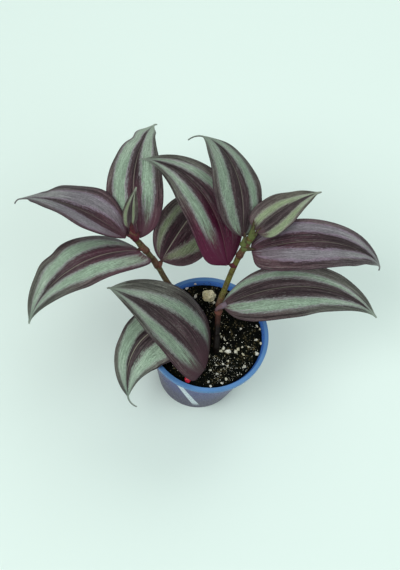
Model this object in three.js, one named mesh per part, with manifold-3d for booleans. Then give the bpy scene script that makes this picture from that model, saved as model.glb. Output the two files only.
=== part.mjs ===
// A young trailing house plant with striped leaves, growing in a small plastic nursery pot.
// Millimetres, +Z up. The origin is the middle of the pot's flat base, and the plant's front faces -Y.
import * as THREE from "three";
import { mergeVertices } from "three/addons/utils/BufferGeometryUtils.js";
import Module from "manifold-3d";

const wasm = await Module();
wasm.setup();

// Pot: a thin tapered cup with a flat, outturned rim.
const potHeight = 48;
const rimRadius = 27.5;
const rimWidth = 1.7;
const rimBand = 2.3;
const bodyTopRadius = 25.9;
const baseRadius = 18.8;
const potWall = 0.9;
const potFloor = 1.4;
const edgeRound = 0.5;
const potSides = 48;
const drain = { count: 6, radius: 2, ringRadius: 12.5, sides: 16 };

// Soil: fills the pot to just under the rim, with a crumbly top.
const fitGap = 0.3;
const soilLevel = 46;
const soilRings = 11;
const soilEdgeDrop = 0.5;
const soilCentreRadius = 1;
const crumb = { count: 70, smallest: 1.6, largest: 3.4, lowest: 0.3, highest: 1.1, margin: 2, seed: 11 };

// Stems: each is one shoot, thickened at its nodes, with a papery sheath above each node.
const stemRadius = 1.4;
const stemSides = 8;
const stemStep = 1.5;
const sheathLength = 5;
const sheathThickness = 0.5;
const sheathTopShare = 0.5;
const stems = {
  left: {
    points: [[-4, -4, 37], [-4.5, -3, 43], [-6.5, 0, 49], [-14.5, 8.5, 54.5], [-23.5, 15, 60],
      [-28.5, 18.5, 65], [-34.5, 21, 71], [-38, 22, 74.5], [-41, 23, 78], [-42.2, 24.2, 80.8]],
    nodes: [2, 5, 6, 8],
  },
  right: {
    points: [[5.9, -9.2, 37], [5.7, -8.2, 43], [5.1, -5.7, 48.5], [3.6, 2, 52.5], [2.2, 10, 57.5],
      [2.7, 15.5, 62.5], [4, 22, 70], [5.5, 27, 76], [7, 29.5, 80.5], [8, 31.5, 84], [9.2, 33.2, 87.3]],
    nodes: [2, 4, 7, 8, 9],
  },
};

// Leaves: each blade runs from its stem along a midrib that starts at a heading and a rise (degrees),
// turns sideways by sway, and bends down by droop. The blade is rolled about its midrib by roll, plus
// twist by the tip. peak is where it is widest, and taper how drawn out its point is. vee is the fold
// at the midrib and arch the downward curve of each half. lobes reach back past the base, left and right.
// skew makes the left half wider all along, and oblique makes it wider near the base only.
const bladeThickness = 0.8;
const bladeSteps = 18;
const bladeColumns = 6;
const tailSteps = 4;
const tailHalfWidth = 0.4;
const baseReach = 6; // the higher, the closer to the base the lobes and the oblique end
const leaves = [
  {
    name: "leaf_left_front", base: [-37.3, 19.2, 72.9], length: 64, width: 26.5, skew: -0.14, oblique: -0.03,
    heading: 205, sway: 41, rise: 20, droop: 92.5, bend: 1.4, roll: 35, twist: -68,
    peak: 0.26, taper: 1.18, vee: 0.12, arch: 0.28, lobes: [18, 4], tail: 2, hook: [0, 10],
  },
  {
    name: "leaf_left_outer", base: [-43.7, 20.6, 78.5], length: 52.5, width: 24.5, skew: -0.2, oblique: 0,
    heading: 157, sway: 24.5, rise: 13, droop: 46, bend: 1.4, roll: 3.5, twist: 37,
    peak: 0.44, taper: 1.12, vee: 0.26, arch: 0.14, lobes: [0.5, 1], tail: 4, hook: [60, 30],
  },
  {
    name: "leaf_left_top", base: [-38.4, 24.6, 74.1], length: 63.5, width: 25, skew: -0.06, oblique: 0,
    heading: 119, sway: -44, rise: 16, droop: 42, bend: 1.4, roll: 0, twist: 0,
    peak: 0.34, taper: 1.1, vee: 0.17, arch: 0.22, lobes: [1, 4], tail: 2, hook: [-50, 0],
  },
  {
    name: "leaf_left_young", base: [-42.4, 24.7, 81.3], length: 16.5, width: 6.5, skew: 0.14, oblique: 0,
    heading: 106, sway: -17, rise: 29, droop: 10, bend: 1.4, roll: -2, twist: 0,
    peak: 0.34, taper: 1, vee: 0.22, arch: 0.18, lobes: [2.5, 0.5], tail: 1, hook: [0, 0],
  },
  {
    name: "leaf_middle_back", base: [-27.1, 20.4, 66.2], length: 45, width: 27, skew: -0.12, oblique: 0,
    heading: 74, sway: -4, rise: 13.5, droop: 55, bend: 1.4, roll: 23, twist: -6,
    peak: 0.38, taper: 0.95, vee: 0.28, arch: 0.1, lobes: [-0.5, 4.5], tail: 2, hook: [0, 0],
  },
  {
    name: "leaf_middle_top", base: [1.3, 22.3, 72.8], length: 66, width: 24.3, skew: 0, oblique: 0.45,
    heading: 110, sway: 61.5, rise: 32.8, droop: 58.8, bend: 1.4, roll: 17.4, twist: -63.4,
    peak: 0.36, taper: 1.16, vee: 0.22, arch: 0.2, lobes: [15.4, 0], tail: 2.5, hook: [15, 20],
  },
  {
    name: "leaf_right_top", base: [4.4, 31.8, 83.6], length: 55.3, width: 22.5, skew: 0.1, oblique: 0.05,
    heading: 97, sway: 49.5, rise: 32.5, droop: 68, bend: 1.4, roll: 13.5, twist: 4,
    peak: 0.36, taper: 1.03, vee: 0.16, arch: 0.24, lobes: [1, 0.5], tail: 10, hook: [45, 25],
  },
  {
    name: "leaf_right_young", base: [9.4, 33.7, 87.9], length: 34, width: 16.5, skew: 0, oblique: 0,
    heading: 54, sway: -16, rise: 21, droop: 38, bend: 1.4, roll: 4, twist: -16,
    peak: 0.28, taper: 1.05, vee: 0.19, arch: 0.21, lobes: [1, 1.5], tail: 1.5, hook: [0, 0],
  },
  {
    name: "leaf_right_upper", base: [10.1, 27.9, 79.6], length: 66, width: 22.3, skew: -0.14, oblique: 0.05,
    heading: 24.5, sway: -22, rise: 21, droop: 77.5, bend: 1.4, roll: 5.5, twist: 28,
    peak: 0.32, taper: 1.01, vee: 0.26, arch: 0.14, lobes: [1, 11.5], tail: 3, hook: [-120, 20],
  },
  {
    name: "leaf_right_lower", base: [3.7, 8.6, 60.9], length: 76.5, width: 25, skew: -0.07, oblique: -0.08,
    heading: 33.5, sway: -42.5, rise: 25, droop: 71.5, bend: 1.4, roll: -11, twist: 50,
    peak: 0.35, taper: 1.13, vee: 0.1, arch: 0.3, lobes: [-4, 7], tail: 1.5, hook: [0, 0],
  },
  {
    name: "leaf_front_upper", base: [2.1, -18.6, 51.3], length: 56.5, width: 29.6, skew: -0.25, oblique: 0.09,
    heading: 140, sway: 35.5, rise: 53.5, droop: 55, bend: 0.7, roll: 30, twist: -62,
    peak: 0.31, taper: 0.86, vee: 0.08, arch: 0.32, lobes: [8, 3], tail: 1.5, hook: [40, 0],
  },
  {
    name: "leaf_front_hanging", base: [-9.5, -0.5, 52], length: 53, width: 26, skew: 0.22, oblique: 0,
    heading: 188, sway: 122, rise: 14, droop: 91, bend: 1.4, roll: -9, twist: -12,
    peak: 0.29, taper: 1.12, vee: 0.3, arch: 0.08, lobes: [1, 1], tail: 8, hook: [50, -60],
  },
];

// Loose things on the soil: one big crumb of perlite and a red bead of slow plant food.
const perliteLump = { size: [6, 5.5, 4.5], place: [-3.2, 18.5, 47], shortest: 0.78, longest: 1.08, seed: 5 };
const foodBead = { radius: 1.3, place: [-3.8, -23.2, 46.8] };

const colours = {
  pot: 0x5f7bb0, soil: 0x17130f, stem: 0x8a8a3c, leaf: 0x6b5a66, perlite: 0xded9c4, bead: 0x8a2c3c,
};

// A repeatable stream of numbers from 0 to 1.
function seededDraws(seed) {
  let state = seed;
  return () => {
    state = (state * 1664525 + 1013904223) % 4294967296;
    return state / 4294967296;
  };
}

// A closed geometry from rings of points that all have the same count, with a fan over each end.
function loft(rings) {
  const count = rings[0].length;
  const vertices = rings.flat();
  const faces = [];
  for (let i = 0; i + 1 < rings.length; i++) {
    for (let j = 0; j < count; j++) {
      const a = i * count + j;
      const b = i * count + ((j + 1) % count);
      faces.push([a, b, b + count], [a, b + count, a + count]);
    }
  }
  const last = (rings.length - 1) * count;
  for (let j = 1; j + 1 < count; j++) faces.push([0, j + 1, j], [last, last + j, last + j + 1]);
  return geometryOf(vertices, faces);
}

function geometryOf(vertices, faces) {
  const geometry = new THREE.BufferGeometry();
  geometry.setFromPoints(vertices);
  geometry.setIndex(faces.flat());
  return geometry;
}

function solidOf(geometry) {
  const bare = geometry.clone();
  bare.deleteAttribute("normal");
  bare.deleteAttribute("uv");
  const merged = mergeVertices(bare, 1e-3);
  return new wasm.Manifold(new wasm.Mesh({
    numProp: 3,
    vertProperties: new Float32Array(merged.attributes.position.array),
    triVerts: new Uint32Array(merged.index.array),
  }));
}

function geometryFrom(solid) {
  const mesh = solid.getMesh();
  const geometry = new THREE.BufferGeometry();
  geometry.setAttribute("position", new THREE.BufferAttribute(mesh.vertProperties, 3));
  geometry.setIndex(new THREE.BufferAttribute(mesh.triVerts, 1));
  return geometry;
}

function named(name, geometry, colour, roughness) {
  geometry.computeVertexNormals();
  const material = new THREE.MeshStandardMaterial({ color: colour, roughness, metalness: 0 });
  const mesh = new THREE.Mesh(geometry, material);
  mesh.name = name;
  return mesh;
}

// The wall's outer and inner radius at a height.
const outerRadius = (z) => THREE.MathUtils.lerp(baseRadius, bodyTopRadius, z / (potHeight - rimBand));
const innerRadius = (z) => outerRadius(z) - potWall;

function turned(profile) {
  const geometry = new THREE.LatheGeometry(profile.map(([r, z]) => new THREE.Vector2(r, z)), potSides);
  return geometry.rotateX(Math.PI / 2);
}

function makePot() {
  const bandFoot = potHeight - rimBand;
  const profile = [
    [0, 0],
    [baseRadius - edgeRound, 0],
    [baseRadius, edgeRound],
    [outerRadius(bandFoot), bandFoot],
    [rimRadius - edgeRound, bandFoot],
    [rimRadius, bandFoot + edgeRound],
    [rimRadius, potHeight - edgeRound],
    [rimRadius - edgeRound, potHeight],
    [rimRadius - rimWidth + edgeRound, potHeight],
    [rimRadius - rimWidth, potHeight - edgeRound],
    [innerRadius(bandFoot), bandFoot],
    [innerRadius(potFloor), potFloor],
    [0, potFloor],
  ];
  let pot = solidOf(turned(profile));
  for (let i = 0; i < drain.count; i++) {
    const angle = (2 * Math.PI * i) / drain.count;
    const hole = new THREE.CylinderGeometry(drain.radius, drain.radius, 3 * potFloor, drain.sides);
    hole.rotateX(Math.PI / 2);
    hole.translate(drain.ringRadius * Math.cos(angle), drain.ringRadius * Math.sin(angle), 0);
    pot = pot.subtract(solidOf(hole));
  }
  return named("pot", geometryFrom(pot), colours.pot, 0.3);
}

// The shoot's line through its points.
function stemCurve(stem) {
  return new THREE.CatmullRomCurve3(stem.points.map((p) => new THREE.Vector3(...p)), false, "centripetal");
}

// A tube along a stem: thicker by extra everywhere and, where sheathed, over the sheath above each node.
function stemTube(stem, extra, sheathed) {
  const curve = stemCurve(stem);
  const length = curve.getLength();
  const steps = Math.round(length / stemStep);
  const frames = curve.computeFrenetFrames(steps);
  const nodeDistances = stem.nodes.map((n) => distanceTo(curve, new THREE.Vector3(...stem.points[n])));
  const rings = [];
  for (let i = 0; i <= steps; i++) {
    const centre = curve.getPointAt(i / steps);
    const along = (length * i) / steps;
    const sheath = Math.max(...nodeDistances.map((d) => sheathAt(along - d)));
    const radius = stemRadius + extra + (sheathed ? sheathThickness * sheath : 0);
    const ring = [];
    for (let j = 0; j < stemSides; j++) {
      const angle = (2 * Math.PI * j) / stemSides;
      ring.push(centre.clone()
        .addScaledVector(frames.normals[i], radius * Math.cos(angle))
        .addScaledVector(frames.binormals[i], radius * Math.sin(angle)));
    }
    rings.push(ring);
  }
  return loft(rings);
}

// The plain hole that a stem stands in, a little wider and deeper than its buried end.
function stemHole(stem) {
  const [x, y, z] = stem.points[0];
  const points = [[x, y, z - 2 * fitGap], ...stem.points];
  return stemTube({ points, nodes: [] }, fitGap + sheathThickness, false);
}

// How far along a curve, in millimetres, a point on it lies.
function distanceTo(curve, point) {
  const samples = 200;
  let best = 0;
  for (let i = 1; i <= samples; i++) {
    const nearer = curve.getPointAt(i / samples).distanceTo(point);
    if (nearer < curve.getPointAt(best / samples).distanceTo(point)) best = i;
  }
  return (curve.getLength() * best) / samples;
}

// The sheath's share of its thickness at a distance past its node: it swells at the node and thins upwards.
function sheathAt(past) {
  if (past < -stemStep || past > sheathLength) return 0;
  return past < 0 ? 1 + past / stemStep : 1 - (1 - sheathTopShare) * (past / sheathLength);
}

function makeSoil(stemTubes, pits) {
  const draw = seededDraws(crumb.seed);
  const topRadius = innerRadius(soilLevel) - fitGap;
  const crumbs = [];
  for (let i = 0; i < crumb.count; i++) {
    const angle = 2 * Math.PI * draw();
    const away = (topRadius - crumb.margin) * Math.sqrt(draw());
    crumbs.push({
      x: away * Math.cos(angle),
      y: away * Math.sin(angle),
      reach: THREE.MathUtils.lerp(crumb.smallest, crumb.largest, draw()),
      height: THREE.MathUtils.lerp(crumb.lowest, crumb.highest, draw()),
    });
  }
  const relief = (x, y) => crumbs.reduce((most, c) => {
    const near = Math.hypot(x - c.x, y - c.y) / c.reach;
    return near < 1 ? Math.max(most, c.height * (1 - near * near)) : most;
  }, 0);
  const bottom = potFloor + fitGap;
  const ringAt = (radius, height) => {
    const ring = [];
    for (let j = 0; j < potSides; j++) {
      const angle = (2 * Math.PI * j) / potSides;
      const x = radius * Math.cos(angle);
      const y = radius * Math.sin(angle);
      ring.push(new THREE.Vector3(x, y, height(x, y)));
    }
    return ring;
  };
  const rings = [
    ringAt(soilCentreRadius, () => bottom),
    ringAt(innerRadius(bottom) - fitGap, () => bottom),
    ringAt(topRadius, () => soilLevel - soilEdgeDrop),
  ];
  for (let k = 1; k < soilRings; k++) {
    rings.push(ringAt(topRadius * (1 - k / soilRings), (x, y) => soilLevel + relief(x, y)));
  }
  let soil = solidOf(loft(rings));
  for (const cutter of [...stemTubes, ...pits]) soil = soil.subtract(solidOf(cutter));
  return named("soil", geometryFrom(soil), colours.soil, 0.95);
}

// The midrib's direction, the blade's left side and its face normal, a share u of the way to the tip.
function bladeFrame(leaf, u) {
  const blade = Math.min(u, 1);
  const tailShare = Math.max(0, u - 1) / (leaf.tail / leaf.length);
  const heading = leaf.heading + leaf.sway * blade + leaf.hook[0] * tailShare;
  const rise = leaf.rise - leaf.droop * blade ** leaf.bend - leaf.hook[1] * tailShare;
  const turn = THREE.MathUtils.degToRad(heading);
  const lift = THREE.MathUtils.degToRad(rise);
  const roll = THREE.MathUtils.degToRad(leaf.roll + leaf.twist * blade);
  const along = new THREE.Vector3(
    Math.cos(lift) * Math.cos(turn), Math.cos(lift) * Math.sin(turn), Math.sin(lift));
  const level = new THREE.Vector3(-Math.sin(turn), Math.cos(turn), 0);
  const left = level.clone().applyAxisAngle(along, roll);
  return { along, left, normal: along.clone().cross(left) };
}

function halfWidth(leaf, u) {
  if (u <= 0 || u >= 1) return tailHalfWidth;
  const swell = (leaf.taper * leaf.peak) / (1 - leaf.peak);
  const half = (leaf.width / 2) * (u / leaf.peak) ** swell * ((1 - u) / (1 - leaf.peak)) ** leaf.taper;
  return Math.hypot(half, tailHalfWidth);
}

// A blade: a grid of points bent to the leaf's form, given two faces and closed round its edge.
function makeLeaf(leaf) {
  const shares = [];
  for (let i = 0; i <= bladeSteps; i++) shares.push(0.5 - 0.5 * Math.cos((Math.PI * i) / bladeSteps));
  for (let i = 1; i <= tailSteps; i++) shares.push(1 + (leaf.tail / leaf.length) * (i / tailSteps));
  const rib = new THREE.Vector3(...leaf.base);
  const top = [];
  const bottom = [];
  shares.forEach((u, i) => {
    if (i > 0) {
      const step = bladeFrame(leaf, (u + shares[i - 1]) / 2).along;
      rib.addScaledVector(step, leaf.length * (u - shares[i - 1]));
    }
    const { along, left, normal } = bladeFrame(leaf, u);
    const evenHalf = halfWidth(leaf, u);
    const nearBase = Math.max(0, 1 - u) ** baseReach;
    const lobeReach = nearBase * (2 * evenHalf / leaf.width) ** 2;
    for (let j = 0; j <= bladeColumns; j++) {
      const across = 1 - (2 * j) / bladeColumns;
      const half = evenHalf * (1 + Math.sign(across) * (leaf.skew + leaf.oblique * nearBase));
      const lobe = across > 0 ? leaf.lobes[0] : leaf.lobes[1];
      const height = half * (leaf.vee * Math.abs(across) - leaf.arch * across * across);
      const middle = rib.clone()
        .addScaledVector(along, -lobe * across * across * lobeReach)
        .addScaledVector(left, half * across)
        .addScaledVector(normal, height);
      top.push(middle.clone().addScaledVector(normal, bladeThickness / 2));
      bottom.push(middle.clone().addScaledVector(normal, -bladeThickness / 2));
    }
  });
  const row = bladeColumns + 1;
  const under = top.length;
  const faces = [];
  for (let i = 0; i + 1 < shares.length; i++) {
    for (let j = 0; j < bladeColumns; j++) {
      const a = i * row + j;
      const b = a + 1;
      const c = b + row;
      const d = a + row;
      faces.push([a, b, c], [a, c, d], [under + a, under + c, under + b], [under + a, under + d, under + c]);
    }
    const l = i * row;
    const r = l + bladeColumns;
    faces.push([l, l + row, under + l + row], [l, under + l + row, under + l]);
    faces.push([r, under + r, under + r + row], [r, under + r + row, r + row]);
  }
  const end = (shares.length - 1) * row;
  for (let j = 0; j < bladeColumns; j++) {
    faces.push([j, under + j, under + j + 1], [j, under + j + 1, j + 1]);
    faces.push([end + j, end + j + 1, under + end + j + 1], [end + j, under + end + j + 1, under + end + j]);
  }
  return named(leaf.name, geometryOf([...top, ...bottom], faces), colours.leaf, 0.45);
}

// A rough crumb: a ball with each corner moved in or out by a seeded share.
function crumbGeometry(lump, grow) {
  const draw = seededDraws(lump.seed);
  const ball = mergeVertices(bareBall(1, 1), 1e-3);
  const at = ball.attributes.position;
  for (let i = 0; i < at.count; i++) {
    const reach = THREE.MathUtils.lerp(lump.shortest, lump.longest, draw());
    const corner = [at.getX(i), at.getY(i), at.getZ(i)];
    at.setXYZ(i, ...corner.map((x, k) => x * (reach * lump.size[k] / 2 + grow)));
  }
  return ball.translate(...lump.place);
}

function bareBall(radius, detail) {
  const ball = new THREE.IcosahedronGeometry(radius, detail);
  ball.deleteAttribute("normal");
  ball.deleteAttribute("uv");
  return ball;
}

const plant = new THREE.Group();
plant.add(makePot());
const stemHoles = Object.values(stems).map(stemHole);
const beadPit = bareBall(foodBead.radius + fitGap, 1).translate(...foodBead.place);
plant.add(makeSoil(stemHoles, [crumbGeometry(perliteLump, fitGap), beadPit]));
for (const [side, stem] of Object.entries(stems)) {
  plant.add(named("stem_" + side, stemTube(stem, 0, true), colours.stem, 0.5));
}
for (const leaf of leaves) plant.add(makeLeaf(leaf));
plant.add(named("perlite_lump", crumbGeometry(perliteLump, 0), colours.perlite, 0.9));
const bead = bareBall(foodBead.radius, 1).translate(...foodBead.place);
plant.add(named("food_bead", bead, colours.bead, 0.4));

export default plant;
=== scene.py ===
import math
import random
import bmesh
import bpy
from mathutils import Matrix, Vector, noise


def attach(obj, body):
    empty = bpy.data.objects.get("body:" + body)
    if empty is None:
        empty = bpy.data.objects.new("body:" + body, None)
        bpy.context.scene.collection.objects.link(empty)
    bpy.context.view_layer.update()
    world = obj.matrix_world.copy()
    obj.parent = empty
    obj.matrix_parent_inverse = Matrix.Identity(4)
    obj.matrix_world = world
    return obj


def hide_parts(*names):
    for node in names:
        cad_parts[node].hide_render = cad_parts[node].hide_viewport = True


# A young tradescantia with striped leaves in a small blue nursery pot.
# Places and sizes below are in millimetres, and mm turns them into Blender's metres.
mm = 0.001
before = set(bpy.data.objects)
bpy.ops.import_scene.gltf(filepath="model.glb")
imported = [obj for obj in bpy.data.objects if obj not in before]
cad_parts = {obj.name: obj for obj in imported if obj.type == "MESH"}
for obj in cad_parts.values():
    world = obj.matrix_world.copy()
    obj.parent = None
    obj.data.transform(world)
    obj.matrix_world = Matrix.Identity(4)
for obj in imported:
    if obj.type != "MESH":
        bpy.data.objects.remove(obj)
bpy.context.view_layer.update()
print("frame loaded:", len(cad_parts), "nodes")


# camera, at the viewing angle of the photo: it looks down steeply and leans a little
cameraView = {"place": (-8.2, -169.6, 435.8), "down": 63.68, "lean": 13.42, "lens": 60}


def addCamera(view):
    camera = bpy.data.objects.new("camera", bpy.data.cameras.new("camera"))
    camera.data.lens = view["lens"]
    camera.data.clip_start = 0.01
    camera.matrix_world = (
        Matrix.Translation(Vector(view["place"]) * mm)
        @ Matrix.Rotation(math.radians(90 - view["down"]), 4, "X")
        @ Matrix.Rotation(math.radians(view["lean"]), 4, "Z")
    )
    bpy.context.scene.collection.objects.link(camera)
    bpy.context.scene.camera = camera


addCamera(cameraView)


# colours are given as 0 to 255 for red, green and blue, as a picture editor shows them
def paint(red, green, blue):
    shares = [channel / 255 for channel in (red, green, blue)]
    return tuple(s / 12.92 if s < 0.04045 else ((s + 0.055) / 1.055) ** 2.4 for s in shares) + (1,)


# shader helpers: each adds one node and returns it or its result
def addNode(tree, kind, inputs=None, **settings):
    made = tree.nodes.new(kind)
    for key, value in settings.items():
        setattr(made, key, value)
    for key, value in (inputs or {}).items():
        if isinstance(value, bpy.types.NodeSocket):
            tree.links.new(value, made.inputs[key])
        else:
            made.inputs[key].default_value = value
    return made


def maths(tree, operation, first, second=0.0):
    return addNode(tree, "ShaderNodeMath", {0: first, 1: second}, operation=operation).outputs[0]


def plus(tree, first, second):
    return maths(tree, "ADD", first, second)


def less(tree, first, second):
    return maths(tree, "SUBTRACT", first, second)


def times(tree, first, second):
    return maths(tree, "MULTIPLY", first, second)


# how far a value lies from a half, times a share
def offCentre(tree, value, share):
    return times(tree, less(tree, value, 0.5), share)


def ramped(tree, value, low, high, toLow=0.0, toHigh=1.0):
    made = addNode(
        tree, "ShaderNodeMapRange",
        {"Value": value, "From Min": low, "From Max": high, "To Min": toLow, "To Max": toHigh},
        interpolation_type="SMOOTHSTEP",
    )
    return made.outputs["Result"]


def mixed(tree, share, first, second, how="MIX"):
    made = addNode(tree, "ShaderNodeMix", {0: share, 6: first, 7: second}, data_type="RGBA", blend_type=how)
    return made.outputs[2]


def cloudy(tree, vector, scale, detail=3.0, rough=0.5):
    made = addNode(
        tree, "ShaderNodeTexNoise",
        {"Vector": vector, "Scale": scale, "Detail": detail, "Roughness": rough},
    )
    return made.outputs[0]


def newGroup(name, inputs, outputs):
    tree = bpy.data.node_groups.new(name, "ShaderNodeTree")
    kinds = {float: "NodeSocketFloat", tuple: "NodeSocketColor", Vector: "NodeSocketVector"}
    for label, default in inputs.items():
        socket = tree.interface.new_socket(name=label, in_out="INPUT", socket_type=kinds[type(default)])
        if not isinstance(default, Vector):
            socket.default_value = default
    for label, default in outputs.items():
        tree.interface.new_socket(name=label, in_out="OUTPUT", socket_type=kinds[type(default)])
    return tree, tree.nodes.new("NodeGroupInput").outputs, tree.nodes.new("NodeGroupOutput").inputs


def placeGroup(tree, group, values):
    return addNode(tree, "ShaderNodeGroup", values, node_tree=group).outputs


# a colour made darker or lighter where a value is low or high
def shaded(tree, colour, value, low, high):
    shade = ramped(tree, value, 0.3, 0.7, low, high)
    grey = addNode(tree, "ShaderNodeCombineXYZ", {0: shade, 1: shade, 2: shade}).outputs[0]
    return mixed(tree, 1.0, colour, grey, "MULTIPLY")


# long fine streaks, as of the veins that run side by side in leaves, sheaths and stems
def makeStreaks():
    tree, given, out = newGroup(
        "streaks",
        {"Vector": Vector(), "Across": 60.0, "Along": 2.5, "Seed": 0.0},
        {"Streak": 0.0, "Vein": 0.0},
    )
    place = addNode(tree, "ShaderNodeSeparateXYZ", {0: given["Vector"]}).outputs
    fine = addNode(tree, "ShaderNodeCombineXYZ", {
        0: times(tree, place[0], given["Across"]),
        1: times(tree, place[1], given["Along"]),
        2: given["Seed"],
    }).outputs[0]
    tree.links.new(cloudy(tree, fine, 1.0, 4.0, 0.65), out["Streak"])
    wave = maths(tree, "SINE", times(tree, times(tree, place[0], given["Across"]), 3.1))
    tree.links.new(ramped(tree, wave, -1.0, 1.0), out["Vein"])
    return tree


# a fine uneven grain in Object coordinates, for moulded plastic, soil and stone
def makeGrain():
    tree, given, out = newGroup(
        "grain",
        {"Vector": Vector(), "Size": 400.0, "Coarse": 60.0},
        {"Fine": 0.0, "Broad": 0.0, "Pits": 0.0},
    )
    tree.links.new(cloudy(tree, given["Vector"], given["Size"], 4.0, 0.6), out["Fine"])
    tree.links.new(cloudy(tree, given["Vector"], given["Coarse"], 3.0, 0.5), out["Broad"])
    cells = addNode(tree, "ShaderNodeTexVoronoi", {"Vector": given["Vector"], "Scale": given["Size"]})
    tree.links.new(ramped(tree, cells.outputs["Distance"], 0.0, 0.6), out["Pits"])
    return tree


# a leaf's upper face, on its own UV map: x runs from the left edge to the right one, y from base to tip.
# A stripe's path is the x of its middle. Path and width are given at the base, halfway and at the tip.
def makeZebra(streaks):
    white = (1.0, 1.0, 1.0, 1.0)
    sides = ("Left", "Right")
    sideParts = ("Near", "Middle", "Far", "Margin Near", "Margin Far")
    leafParts = ("Centre Near", "Centre Far", "Base", "Tip", "Midrib", "Fringe", "Shadow")
    inputs = {"Vector": Vector(), "Seed": 0.0}
    for side in sides:
        inputs.update({side + " Path": Vector(), side + " Width": Vector()})
        inputs.update({side + " " + part: white for part in sideParts})
    inputs.update({part: white for part in leafParts})
    inputs.update({part: 0.0 for part in ("Base Reach", "Tip Reach", "Rib Share", "Fringe Share")})
    tree, given, out = newGroup("zebraBlade", inputs, {"Color": white, "Height": 0.0, "Roughness": 0.0})
    place = addNode(tree, "ShaderNodeSeparateXYZ", {0: given["Vector"]}).outputs
    across, along = place[0], place[1]

    def scattered(acrossCount, alongCount):
        return placeGroup(tree, streaks, {
            "Vector": given["Vector"], "Across": acrossCount, "Along": alongCount, "Seed": given["Seed"],
        })

    longStreaks, fineStreaks, speckles = scattered(22.0, 3.5), scattered(70.0, 11.0), scattered(52.0, 42.0)
    ragged = offCentre(tree, longStreaks["Streak"], 0.15)
    ragged = plus(tree, ragged, offCentre(tree, fineStreaks["Streak"], 0.13))
    ragged = plus(tree, ragged, offCentre(tree, speckles["Streak"], 0.1))
    raggedAlong = plus(tree, along, times(tree, ragged, 1.6))
    # shares of the base, halfway and tip values at this place along the blade
    rest = less(tree, 1.0, along)
    past = less(tree, times(tree, along, 2.0), 1.0)
    shares = addNode(tree, "ShaderNodeCombineXYZ", {
        0: times(tree, rest, times(tree, past, -1.0)),
        1: times(tree, times(tree, along, rest), 4.0),
        2: times(tree, along, past),
    }).outputs[0]

    def here(triple):
        made = addNode(tree, "ShaderNodeVectorMath", {0: triple, 1: shares}, operation="DOT_PRODUCT")
        return made.outputs["Value"]

    towardsTip = ramped(tree, raggedAlong, 0.2, 0.75)
    dark = mixed(tree, towardsTip, given["Centre Near"], given["Centre Far"])
    stripes = []
    for side in sides:
        path = here(given[side + " Path"])
        half = times(tree, here(given[side + " Width"]), 0.5)
        away = plus(tree, maths(tree, "ABSOLUTE", less(tree, across, path)), ragged)
        inside = less(tree, half, away)
        mask = ramped(tree, inside, -0.036, 0.012)
        near, middle, far = (given[side + " " + part] for part in ("Near", "Middle", "Far"))
        colour = mixed(tree, ramped(tree, raggedAlong, 0.1, 0.3), near, middle)
        colour = mixed(tree, ramped(tree, raggedAlong, 0.52, 0.78), colour, far)
        fringe = times(tree, ramped(tree, inside, 0.0, 0.045, 1.0, 0.0), given["Fringe Share"])
        stripes.append((mask, mixed(tree, fringe, colour, given["Fringe"])))
        beyond = less(tree, across, path)
        if side == "Left":
            beyond = times(tree, beyond, -1.0)
        margin = mixed(tree, towardsTip, given[side + " Margin Near"], given[side + " Margin Far"])
        dark = mixed(tree, ramped(tree, plus(tree, beyond, ragged), -0.03, 0.05), dark, margin)
    dark = shaded(tree, dark, longStreaks["Streak"], 0.52, 1.36)
    dark = shaded(tree, dark, fineStreaks["Streak"], 0.66, 1.3)
    dark = shaded(tree, dark, fineStreaks["Vein"], 0.9, 1.08)
    lines = ramped(tree, scattered(31.0, 1.7)["Streak"], 0.36, 0.5, 0.75, 0.0)
    dark = mixed(tree, lines, dark, given["Shadow"])
    dustAt = plus(tree, speckles["Streak"], offCentre(tree, longStreaks["Streak"], 0.8))
    face = mixed(tree, ramped(tree, dustAt, 0.56, 0.72, 0.0, 0.17), dark, paint(128, 134, 126))
    for mask, colour in stripes:
        colour = shaded(tree, colour, fineStreaks["Streak"], 0.74, 1.24)
        colour = shaded(tree, colour, longStreaks["Streak"], 0.84, 1.14)
        colour = shaded(tree, colour, fineStreaks["Vein"], 0.94, 1.05)
        face = mixed(tree, mask, face, colour)
    face = shaded(tree, face, scattered(66.0, 64.0)["Streak"], 0.76, 1.24)
    nearBase = ramped(tree, maths(tree, "DIVIDE", raggedAlong, given["Base Reach"]), 0.2, 1.0, 0.92, 0.0)
    face = mixed(tree, nearBase, face, given["Base"])
    left = less(tree, 1.0, raggedAlong)
    nearTip = ramped(tree, maths(tree, "DIVIDE", left, given["Tip Reach"]), 0.0, 1.0, 0.9, 0.0)
    face = mixed(tree, nearTip, face, given["Tip"])
    fromRib = maths(tree, "ABSOLUTE", less(tree, across, 0.5))
    rib = times(tree, ramped(tree, fromRib, 0.004, 0.016, 1.0, 0.0), given["Rib Share"])
    rib = times(tree, rib, ramped(tree, along, 0.45, 1.0, 1.0, 0.3))
    face = mixed(tree, rib, face, given["Midrib"])
    fromMiddle = times(tree, fromRib, 2.0)
    face = mixed(tree, ramped(tree, fromMiddle, 0.955, 0.985, 0.0, 0.55), face, paint(66, 46, 58))
    tree.links.new(face, out["Color"])
    ridges = plus(tree, times(tree, fineStreaks["Vein"], 0.4), fineStreaks["Streak"])
    groove = ramped(tree, fromRib, 0.0, 0.025, 1.6, 0.0)
    tree.links.new(less(tree, ridges, groove), out["Height"])
    tree.links.new(ramped(tree, speckles["Streak"], 0.3, 0.7, 0.52, 0.4), out["Roughness"])
    return tree


streakGroup = makeStreaks()
grainGroup = makeGrain()
zebraGroup = makeZebra(streakGroup)
print("shader groups made")


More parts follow.
